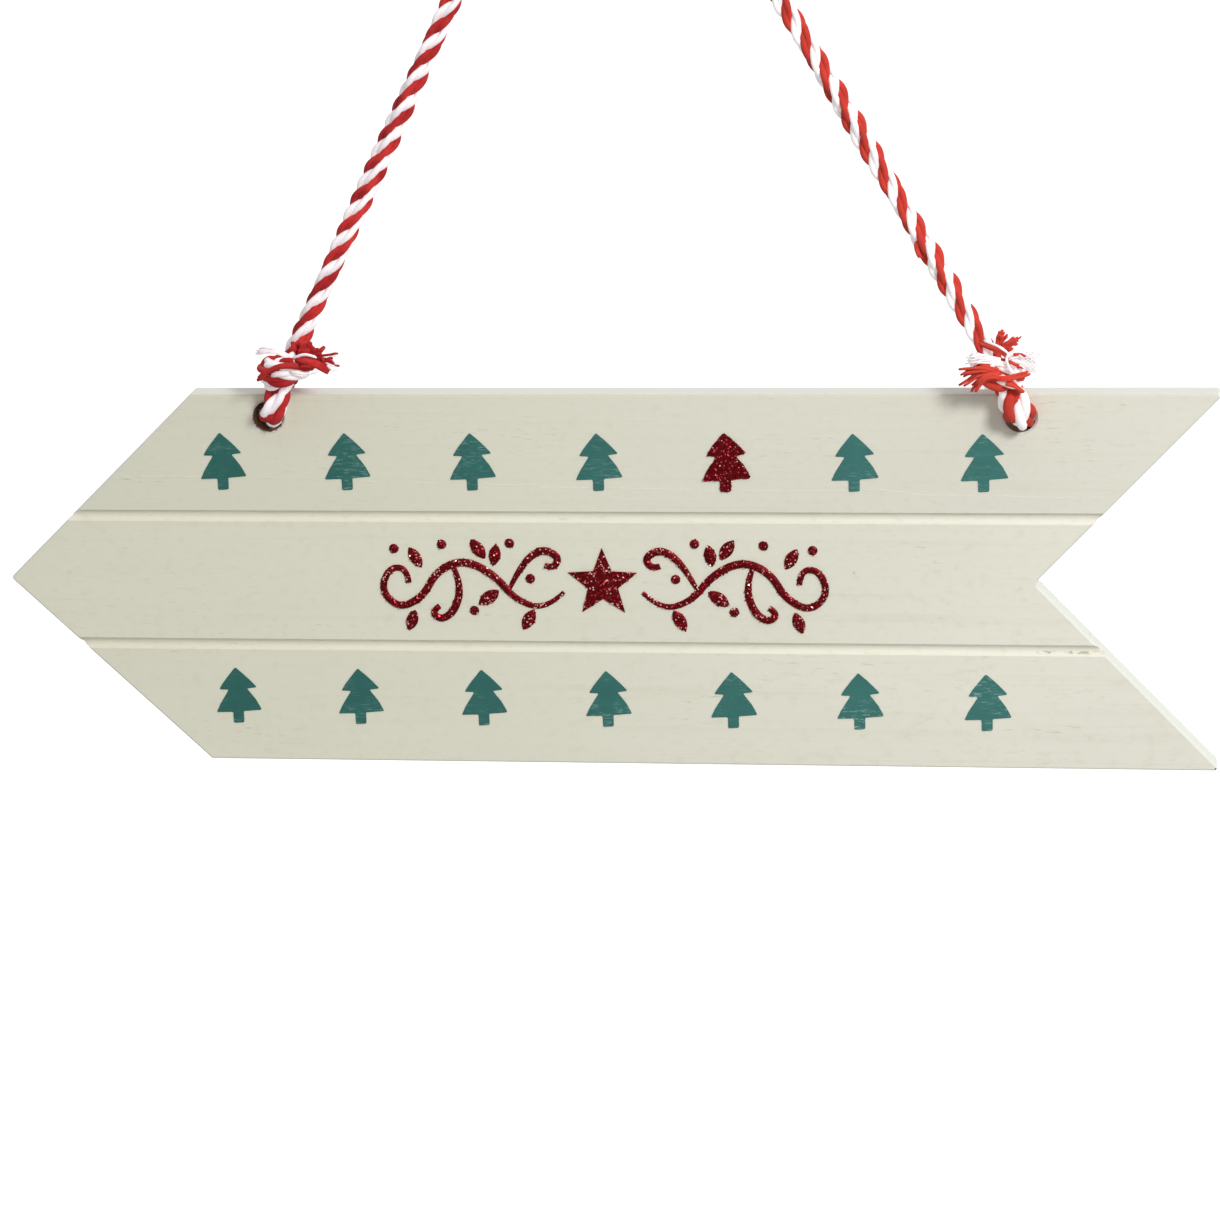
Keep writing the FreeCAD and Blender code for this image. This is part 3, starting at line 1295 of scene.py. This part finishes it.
@dataclass
class PaintRidge:
    """The ridge of paint over a long check in the top plank, broken by the printed trees."""

    course: tuple[Span, ...] = (
        (-168.6, -241.2), (-158.9, -240.9), (-141.3, -240.8), (-123.1, -241.1), (-111.1, -241.4),
        (-101.4, -241.6), (-81.0, -242.5), (-64.0, -242.7), (-47.6, -242.4), (-39.3, -243.4),
        (-28.6, -243.1), (-25.1, -244.1), (-3.8, -244.2), (18.6, -244.7), (32.7, -245.0),
        (49.7, -245.2), (67.9, -244.8), (85.9, -244.6), (97.9, -246.2), (121.8, -246.5),
        (139.7, -247.0), (160.6, -246.8),
    )
    tree_clear: float = 2.6
    sunk: float = 0.02
    step: float = 0.6
    height: float = 0.13
    heights: Span = (0.45, 1.0)
    end_height: float = 0.2
    waver: float = 0.07
    breaks: float = 0.03
    shortest: int = 4
    seed: int = 17

    def build(self, finish: bpy.types.Material) -> bpy.types.Object:
        """Makes the ridge.

        Args:
            finish: the planks' paint.

        Returns:
            The ridge.
        """
        draw = random.Random(self.seed)
        tubes = Tubes("paint_ridge")
        xs, zs = zip(*self.course)
        run: list[Place] = []
        for x in np.arange(xs[0], xs[-1], self.step):
            along = (x - FIRST_TREE) / TREE_PITCH
            at_tree = abs(along - round(along)) * TREE_PITCH < self.tree_clear
            if at_tree or draw.random() < self.breaks:
                self.close(tubes, run, draw)
                run = []
                continue
            z = float(np.interp(x, xs, zs)) + draw.gauss(0.0, self.waver)
            run.append((float(x), FRONT + self.sunk, z))
        self.close(tubes, run, draw)
        return tubes.build([finish])

    def close(self, tubes: Tubes, run: list[Place], draw: random.Random) -> None:
        """Adds one unbroken length of the ridge.

        Args:
            tubes: what it is added to.
            run: its points, in millimetres.
            draw: the source of chance.
        """
        if len(run) < self.shortest:
            return
        radii = np.array([draw.uniform(*self.heights) for _ in run]) * self.height
        radii[0] = radii[-1] = self.end_height * self.height
        tubes.add(np.array(run) * MM, radii * MM)


@dataclass
class JointPaint:
    """Paint that has run into the two V joints of the front and rounded their bottoms."""

    joints: Span = (-254.1, -298.2)
    middle: float = -275.75
    half_height: float = 62.75
    point: Span = (-206.0, 65.0)
    notch: Span = (134.0, 60.0)
    inset: float = 0.35
    depth: float = 1.9
    rooted: float = 0.05
    radius: float = 1.75
    unevenness: float = 0.10
    waves: Span = (23.0, 61.0)
    half_sweep: float = 46.0
    arc: int = 8
    stations: int = 150
    crease: float = 50.0

    def ends(self, z: float) -> Span:
        """Where the board starts and ends at a height, in millimetres.

        Args:
            z: the height.

        Returns:
            The start and the end.
        """
        share = abs(z - self.middle) / self.half_height
        left, right = (start + depth * share for start, depth in (self.point, self.notch))
        return left + self.inset, right - self.inset

    def section(self, row: int, t: float, phase: float) -> Span:
        """One point of the paint's section: a hollow face, then its root in the joint.

        Args:
            row: its number round the section.
            t: how far along the joint it lies, 0 to 1.
            phase: where the paint's unevenness starts.

        Returns:
            Its depth, and its height over the joint.
        """
        bottom = FRONT + self.depth
        if row == self.arc + 1:
            return bottom + self.rooted, 0.0
        slow, fast = self.waves
        wave = self.unevenness * math.sin(slow * t + phase) * math.sin(fast * t + 2.0 * phase)
        radius = self.radius * (1.0 + wave)
        step = row % (self.arc + 2)
        angle = math.radians(2.0 * self.half_sweep * step / self.arc - self.half_sweep)
        y = bottom - radius * math.sqrt(2.0) + radius * math.cos(angle)
        return y, radius * math.sin(angle)

    def strip(self, joint: float, phase: float) -> bpy.types.Object:
        """One joint's paint, as a closed wedge.

        Args:
            joint: the joint's height.
            phase: where its unevenness starts.

        Returns:
            The strip.
        """
        select_none()
        bpy.ops.mesh.primitive_grid_add(
            x_subdivisions=self.stations, y_subdivisions=self.arc + 2, size=1.0
        )
        piece = bpy.context.object
        for index, vertex in enumerate(piece.data.vertices):
            row, column = divmod(index, self.stations + 1)
            t = column / self.stations
            y, rise = self.section(row, t, phase)
            left, right = self.ends(joint + rise)
            vertex.co = Vector((left + (right - left) * t, y, joint + rise)) * MM
        edit_all(piece)
        bpy.ops.mesh.remove_doubles(threshold=1e-7)
        bpy.ops.mesh.select_all(action="DESELECT")
        bpy.ops.mesh.select_mode(type="EDGE")
        bpy.ops.mesh.select_non_manifold()
        bpy.ops.mesh.fill_holes(sides=0)
        face_outwards()
        return piece

    def build(self, finish: bpy.types.Material) -> bpy.types.Object:
        """Makes the paint of both joints.

        Args:
            finish: the planks' paint.

        Returns:
            The paint.
        """
        strips = [self.strip(z, 1.0 + 2.0 * i) for i, z in enumerate(self.joints)]
        piece = join(strips, "joint_paint", finish)
        bpy.ops.object.shade_smooth_by_angle(angle=math.radians(self.crease))
        return piece


@dataclass
class Glitter:
    """Loose flakes on top of a glitter print."""

    name: str
    seed: int
    falloff: float
    per_square_mm: float = 1.6
    forward: float = -0.25
    size: float = 0.00024
    sizes: Span = (0.7, 1.4)
    tilt: float = 0.55
    lean: float = 0.6
    upright: float = 0.35
    lift: float = 0.6
    corners: int = 6

    def build(
        self, base: bpy.types.Object, finishes: Sequence[bpy.types.Material]
    ) -> bpy.types.Object:
        """Scatters flakes over the faces of a print that look forward.

        Args:
            base: the print.
            finishes: shades of flake, the commonest first.

        Returns:
            The flakes.
        """
        draw = random.Random(self.seed)
        base.data.calc_loop_triangles()
        points, faces, shades = [], [], []
        for triangle in base.data.loop_triangles:
            if triangle.normal.y > self.forward:
                continue
            corners = [base.data.vertices[i].co for i in triangle.vertices]
            expected = triangle.area * SQUARE_MM * self.per_square_mm
            for _ in range(int(expected) + (draw.random() < expected % 1.0)):
                faces.append(tuple(range(len(points), len(points) + self.corners)))
                points += self.flake(draw, corners, triangle.normal)
                shade = int(draw.random() ** self.falloff * len(finishes))
                shades.append(min(shade, len(finishes) - 1))
        return mesh_piece(self.name, points, faces, finishes, shades)

    def flake(self, draw: random.Random, corners: list[Vector], normal: Vector) -> list[Place]:
        """The points of one flake.

        Args:
            draw: the source of chance.
            corners: the triangle that it lies on.
            normal: the triangle's normal.

        Returns:
            The points.
        """
        a, b = draw.random(), draw.random()
        if a + b > 1.0:
            a, b = 1.0 - a, 1.0 - b
        size = self.size * draw.uniform(*self.sizes)
        lean = Vector([draw.gauss(0.0, self.tilt) for _ in range(3)])
        facing = (normal + lean * self.lean).normalized()
        if facing.dot(normal) < self.upright:
            facing = normal.copy()
        origin, right, left = corners
        centre = origin + (right - origin) * a + (left - origin) * b + normal * size * self.lift
        first = facing.orthogonal().normalized()
        second = facing.cross(first)
        points = []
        for i in range(self.corners):
            angle = TURN * i / self.corners
            points.append((centre + (first * math.cos(angle) + second * math.sin(angle)) * size)[:])
        return points


@dataclass
class TreePrints:
    """The trees: one film of ink with soft tips, copied along two rows, and a glittered one."""

    outline: tuple[Span, ...] = (
        (-0.35, 0.0), (2.4, 2.4), (4.45, 4.4), (6.7, 6.85), (3.3, 7.35), (6.2, 11.2), (8.0, 14.7),
        (1.8, 15.25), (1.78, 19.2), (-1.78, 19.4), (-1.78, 15.55), (-7.4, 15.75), (-6.0, 12.8),
        (-2.85, 7.8), (-6.1, 7.7), (-4.6, 5.3), (-3.2, 3.5),
    )
    rows: tuple[Span, ...] = ((FIRST_TREE, -225.85), (-130.95, -306.30))
    count: int = 7
    glittered: tuple[int, int] = (0, 4)
    ink: float = 0.2
    glitter: float = 0.4
    rooted: float = 0.02
    soft_tip: float = 0.5
    tip_segments: int = 3
    growth: float = 1.03
    middle: float = 9.8
    grain: float = 0.5
    grain_tip: float = 0.05
    roughness: float = 0.09
    seed: int = 41

    def place(self, row: int, index: int) -> Matrix:
        """Where a tree of a row stands."""
        first, top = self.rows[row]
        return Matrix.Translation(Vector((first + index * TREE_PITCH, 0.0, top)) * MM)

    def tree(
        self, outline: Sequence[Span], thickness: float, soft_tip: float
    ) -> bpy.types.Object:
        """One tree, with its top at the origin.

        Args:
            outline: its corners, across and down, in millimetres.
            thickness: how far it stands out of the face.
            soft_tip: how far its corners are cut back to round them.

        Returns:
            The tree.
        """
        select_none()
        bpy.ops.mesh.primitive_circle_add(vertices=len(outline), radius=MM, fill_type="NGON")
        piece = bpy.context.object
        for vertex, (across, drop) in zip(piece.data.vertices, outline):
            vertex.co = Vector((across, FRONT - thickness, -drop)) * MM
        edit_all(piece)
        bpy.ops.mesh.bevel(offset=soft_tip * MM, segments=self.tip_segments, affect="VERTICES")
        thicken((thickness + self.rooted) * MM)
        return piece

    def build(self, finish: bpy.types.Material) -> bpy.types.Object:
        """Makes all trees but the glittered one.

        Args:
            finish: the ink.

        Returns:
            The trees.
        """
        stamp = self.tree(self.outline, self.ink, self.soft_tip)
        copies = []
        for row in range(len(self.rows)):
            for index in range(self.count):
                if (row, index) == self.glittered:
                    continue
                data = stamp.data.copy()
                data.transform(self.place(row, index))
                copies.append(link("printed_tree", data))
        bpy.data.objects.remove(stamp)
        return join(copies, "printed_trees", finish)

    def glitter_tree(self, finish: bpy.types.Material) -> bpy.types.Object:
        """Makes the glittered tree, whose edge is rough with grains.

        Args:
            finish: the glitter bed.

        Returns:
            The tree.
        """
        draw = random.Random(self.seed)
        grow, middle = self.growth, self.middle
        grown = [(x * grow, middle + (z - middle) * grow) for x, z in self.outline]
        edge = []
        for start, end in zip(grown, grown[1:] + grown[:1]):
            steps = max(1, round(math.dist(start, end) / self.grain))
            for step in range(1, steps):
                smooth = (a + (b - a) * (step / steps) for a, b in zip(start, end))
                edge.append(tuple(c + draw.gauss(0.0, self.roughness) for c in smooth))
        piece = self.tree(edge, self.glitter, self.grain_tip)
        piece.data.transform(self.place(*self.glittered))
        piece.name = piece.data.name = "glittered_tree"
        dress(piece, finish)
        return piece


@dataclass
class Flourish:
    """A glitter flourish: a star between two curling sprigs with leaves and berries.

    The sprigs' places are in millimetres from its middle, for the right side.
    """

    centre: Span = (-0.0065, -0.2765)
    bead: float = 0.0013
    rise: float = 0.0008
    stems: tuple[tuple[Span, ...], ...] = (
        (
            (13, -3), (19, -9), (29, -6), (36, 3), (46, 8), (55, 4), (60, -5), (68, -9), (74, -3),
            (71, 5), (65, 5), (64.5, 0),
        ),
        ((31, -2), (27, 6), (20, 12), (14, 9), (16, 5), (19, 6)),
        ((50, 7), (47, 0), (49, -9), (54, -13), (57.5, -10), (54.5, -8)),
    )
    stem_widths: tuple[Span, ...] = ((0.0, 0.55), (0.3, 1.1), (0.8, 0.9), (1.0, 0.75))
    stem_detail: int = 10
    stem_roundness: int = 3
    leaves: tuple[tuple[float, ...], ...] = (
        (25, -12.5, -60, 8, 4.2), (38, -5, -35, 8.5, 4.4), (41, 11.5, 55, 8, 4.2),
        (62, 8.5, 60, 8, 4), (35.5, 9.5, 100, 7.5, 4), (64, -13, -70, 7.5, 4),
    )
    leaf_point: float = 0.35
    leaf_height: float = 0.95
    berries: tuple[Span, ...] = ((24, 1.5), (43, -9.5), (53, 13), (30.5, 13.5), (69, 11.5))
    berry_size: Span = (3.2, 3.2)
    star_reach: Span = (12.0, 5.2)
    star_corners: int = 10
    star_edge: float = 0.0004
    star_peak: float = 0.0012
    star_depth: float = 0.0007
    crease: float = 40.0

    def stem(self, places: Sequence[Span]) -> bpy.types.Object:
        """A domed bead of glitter glue along a smooth line.

        Args:
            places: the line's control points.

        Returns:
            The bead.
        """
        line = [(x * MM, 0.0, z * MM) for x, z in places]
        piece = smooth_curve("stem", line, self.stem_detail)
        curve = piece.data
        curve.bevel_depth = self.bead
        curve.bevel_resolution = self.stem_roundness
        curve.use_fill_caps = True
        widths = np.interp(np.linspace(0, 1, len(line)), *zip(*self.stem_widths))
        for point, width in zip(curve.splines[0].points, widths):
            point.radius = width
        select_only(piece)
        bpy.ops.object.convert(target="MESH")
        return bpy.context.object

    def leaf(self, place: Span, turn: float, size: Span, point: float) -> bpy.types.Object:
        """A domed leaf or berry.

        Args:
            place: its middle.
            turn: its direction, in degrees above +X.
            size: its length and width, in millimetres.
            point: how pointed its ends are, 0 for a round berry.

        Returns:
            The dome.
        """
        length, width = size
        select_none()
        bpy.ops.mesh.primitive_uv_sphere_add(segments=16, ring_count=12, radius=1.0)
        piece = bpy.context.object
        for vertex in piece.data.vertices:
            across, up, along = vertex.co
            taper = max(1.0 - along * along, 0.0) ** point
            y = across * self.bead / MM * self.leaf_height
            vertex.co = Vector((along * length / 2.0, y, up * width / 2.0 * taper)) * MM
        middle = Matrix.Translation((place[0] * MM, 0.0, place[1] * MM))
        piece.data.transform(middle @ Matrix.Rotation(math.radians(-turn), 4, "Y"))
        edit_all(piece)
        face_outwards()
        return piece

    def star(self) -> bpy.types.Object:
        """A raised five-pointed star.

        Returns:
            The star.
        """
        points, waist = self.star_reach
        bpy.ops.mesh.primitive_circle_add(
            vertices=self.star_corners, radius=points * MM, fill_type="TRIFAN"
        )
        piece = bpy.context.object
        pitch = 360.0 / self.star_corners
        for vertex in piece.data.vertices:
            x, y, _ = vertex.co
            if math.hypot(x, y) < 1e-6:
                vertex.co = (0.0, -self.star_peak, 0.0)
                continue
            step = round((math.degrees(math.atan2(y, x)) + 90.0) / pitch)
            reach = (points if step % 2 == 0 else waist) * MM
            turned = math.radians(step * pitch + 90.0)
            vertex.co = (reach * math.cos(turned), -self.star_edge, reach * math.sin(turned))
        edit_all(piece)
        thicken(self.star_depth)
        return piece

    def build(self, finish: bpy.types.Material) -> bpy.types.Object:
        """Makes the flourish.

        Args:
            finish: the glitter bed.

        Returns:
            The flourish.
        """
        beads = []
        for side in (1.0, -1.0):
            for line in self.stems:
                beads.append(self.stem([(side * x, z) for x, z in line]))
            for x, z, turn, *size in self.leaves:
                turned = turn if side > 0 else 180.0 - turn
                beads.append(self.leaf((side * x, z), turned, size, self.leaf_point))
            for x, z in self.berries:
                beads.append(self.leaf((side * x, z), 0.0, self.berry_size, 0.0))
        for bead in beads:
            bead.data.transform(Matrix.Diagonal((1.0, self.rise / self.bead, 1.0, 1.0)))
        piece = join([*beads, self.star()], "glitter_flourish", finish)
        x, z = self.centre
        piece.data.transform(Matrix.Translation((x, FRONT * MM, z)))
        bpy.ops.object.shade_smooth_by_angle(angle=math.radians(self.crease))
        return piece


@dataclass
class Studio:
    """Camera, light and a pale floor far below the sign."""

    azimuth: float = 8.28
    elevation: float = 16.13
    roll: float = -1.90
    distance: float = 1.35519
    focal_pixels: float = 4120.4
    frame_pixels: float = 1220.0
    sensor: float = 36.0
    far: float = 50.0
    target: Vector = Vector((-0.00517, 0.0, -0.28698))
    lamps: tuple[tuple[str, Place, float, float], ...] = (
        ("key", (1.02, -1.30, 1.02), 26.0, 0.42),
        ("top", (0.3, -0.5, 1.9), 4.0, 1.4),
    )
    sky: float = 0.5
    floor_size: float = 40.0
    floor_z: float = -1.20

    def camera(self) -> None:
        """Adds the camera at the photograph's view."""
        az, el, roll = (math.radians(v) for v in (self.azimuth, self.elevation, self.roll))
        back = Vector((math.sin(az) * math.cos(el), -math.cos(az) * math.cos(el), math.sin(el)))
        right = Vector((math.cos(az), math.sin(az), 0.0))
        up = back.cross(right)
        across = right * math.cos(roll) + up * math.sin(roll)
        upward = up * math.cos(roll) - right * math.sin(roll)
        data = bpy.data.cameras.new("camera")
        data.sensor_width = self.sensor
        data.lens = self.sensor * self.focal_pixels / self.frame_pixels
        data.clip_end = self.far
        eye = link("camera", data)
        turn = Matrix((across, upward, back)).transposed().to_4x4()
        eye.matrix_world = Matrix.Translation(self.target + back * self.distance) @ turn
        bpy.context.scene.camera = eye

    def lamp(self, name: str, offset: Place, power: float, size: float) -> None:
        """Adds a soft square light that looks at the sign.

        Args:
            name: its name.
            offset: where it stands, from the camera's target.
            power: in watts.
            size: its width, in metres.
        """
        data = bpy.data.lights.new(name, "AREA")
        data.energy = power
        data.size = size
        lamp = link(name, data)
        lamp.location = self.target + Vector(offset)
        lamp.rotation_euler = (self.target - lamp.location).to_track_quat("-Z", "Y").to_euler()

    def build(self) -> None:
        """Sets the whole stage."""
        self.camera()
        for lamp in self.lamps:
            self.lamp(*lamp)
        world = bpy.data.worlds.new("studio")
        world.use_nodes = True
        sky = world.node_tree.nodes["Background"]
        sky.inputs["Color"].default_value = (1.0, 1.0, 1.0, 1.0)
        sky.inputs["Strength"].default_value = self.sky
        bpy.context.scene.world = world
        bpy.ops.mesh.primitive_plane_add(size=self.floor_size, location=(0.0, 0.0, self.floor_z))
        floor = bpy.context.object
        floor.name = "floor"
        dress(floor, PaleFloor().make("pale_floor"))
        bpy.context.scene.view_settings.view_transform = "Standard"


def settle(piece: bpy.types.Object, slot: Slot, *nodes: str) -> None:
    """Rides a piece on the sign, hides the CAD nodes that it stands for and logs its faces.

    Args:
        piece: the piece.
        slot: its material slot; not used.
        nodes: the CAD nodes that it replaces.
    """
    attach(piece, BODY)
    if nodes:
        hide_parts(*nodes)
    LOG.info("%s: %d faces", piece.name, len(piece.data.polygons))


def main() -> None:
    """Builds the sign around its frame."""
    logging.basicConfig(level=logging.INFO, format="%(name)s %(message)s")
    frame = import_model()
    select_none()
    Studio().build()
    for index, (name, tone) in enumerate(PLANK_SHADE_TONES.items()):
        dress(frame["nodes"][name], PaintedWood(tone).make("cream_" + name, shift=3.7 * index + 1.3))
    settle(JointPaint().build(PaintedWood().make("cream_joint_paint", shift=14.2)), Slot.WOOD)
    settle(PaintRidge().build(PaintedWood(tone=1.06).make("cream_paint_ridge", shift=18.9)), Slot.WOOD)
    settle(HoleBreakout().build(TornWood().make("torn_wood")), Slot.WOOD)
    trees = TreePrints()
    settle(trees.build(TreeInk().make("teal_ink")), Slot.INK, "tree_prints")
    bed = GlitterBed().make("red_glitter_bed")
    sparkling = trees.glitter_tree(bed)
    settle(sparkling, Slot.GLITTER, "glitter_tree")
    # Each yarn: its colour, its darker tone, its colour lit towards the tail, its sheen and a painted glow.
    red, white, fluffed_lit = (
        Yarn(*map(linear, codes), sheen, glow).make(name)
        for name, codes, sheen, glow in (
            ("red_yarn", ("#C8322F", "#98171C", "#C94331"), 0.07, 0.03),
            ("white_yarn", ("#EFE9EA", "#E0D8DC", "#F6F2F1"), 0.15, 0.22),
            # The right fray's red is brighter and oranger: partly fluffed yarn, partly painted light from
            # the lamp's side.
            ("fluffed_lit_red_yarn", ("#D93F31", "#B0241D", "#D04937"), 0.10, 0.06),
        )
    )
    rope = Rope()
    twisted, line = rope.build([red, white])
    settle(twisted, Slot.ROPE, "hanging_rope", "left_knot", "right_knot")
    frays = [
        Fray("left_fray", seed=11, locks=LEFT_LOCKS).build([red, white]),
        Fray("right_fray", seed=23, locks=RIGHT_LOCKS).build([fluffed_lit, white]),
    ]
    settle(frays[0], Slot.ROPE, "left_tail")
    settle(frays[1], Slot.ROPE, "right_tail")
    LOG.info("rope line %.4f m", lengths(line)[-1])
    shades = [
        Flake(linear("#7E060F")).make("flake_red"),
        Flake(linear("#5A0308")).make("flake_dark"),
        Flake(linear("#B4161F")).make("flake_bright"),
        # Painted highlight: pale pink flakes that stand in for glints.
        Flake(linear("#F6BFB0"), roughness=0.3, metallic=0.45).make("flake_glint_pink"),
    ]
    flourish = Flourish().build(bed)
    settle(flourish, Slot.GLITTER)
    settle(Glitter("flourish_flakes", seed=5, falloff=1.15).build(flourish, shades), Slot.GLITTER)
    # Painted highlight: duller pink flakes that stand in for dim glints on the tree.
    dull = Flake(linear("#A8545E"), roughness=0.4, metallic=0.3).make("flake_dim_glint")
    dim = [*shades[:2], dull, shades[3]]
    settle(Glitter("tree_flakes", seed=9, falloff=7.5).build(sparkling, dim), Slot.GLITTER)


if __name__ == "__main__":
    main()
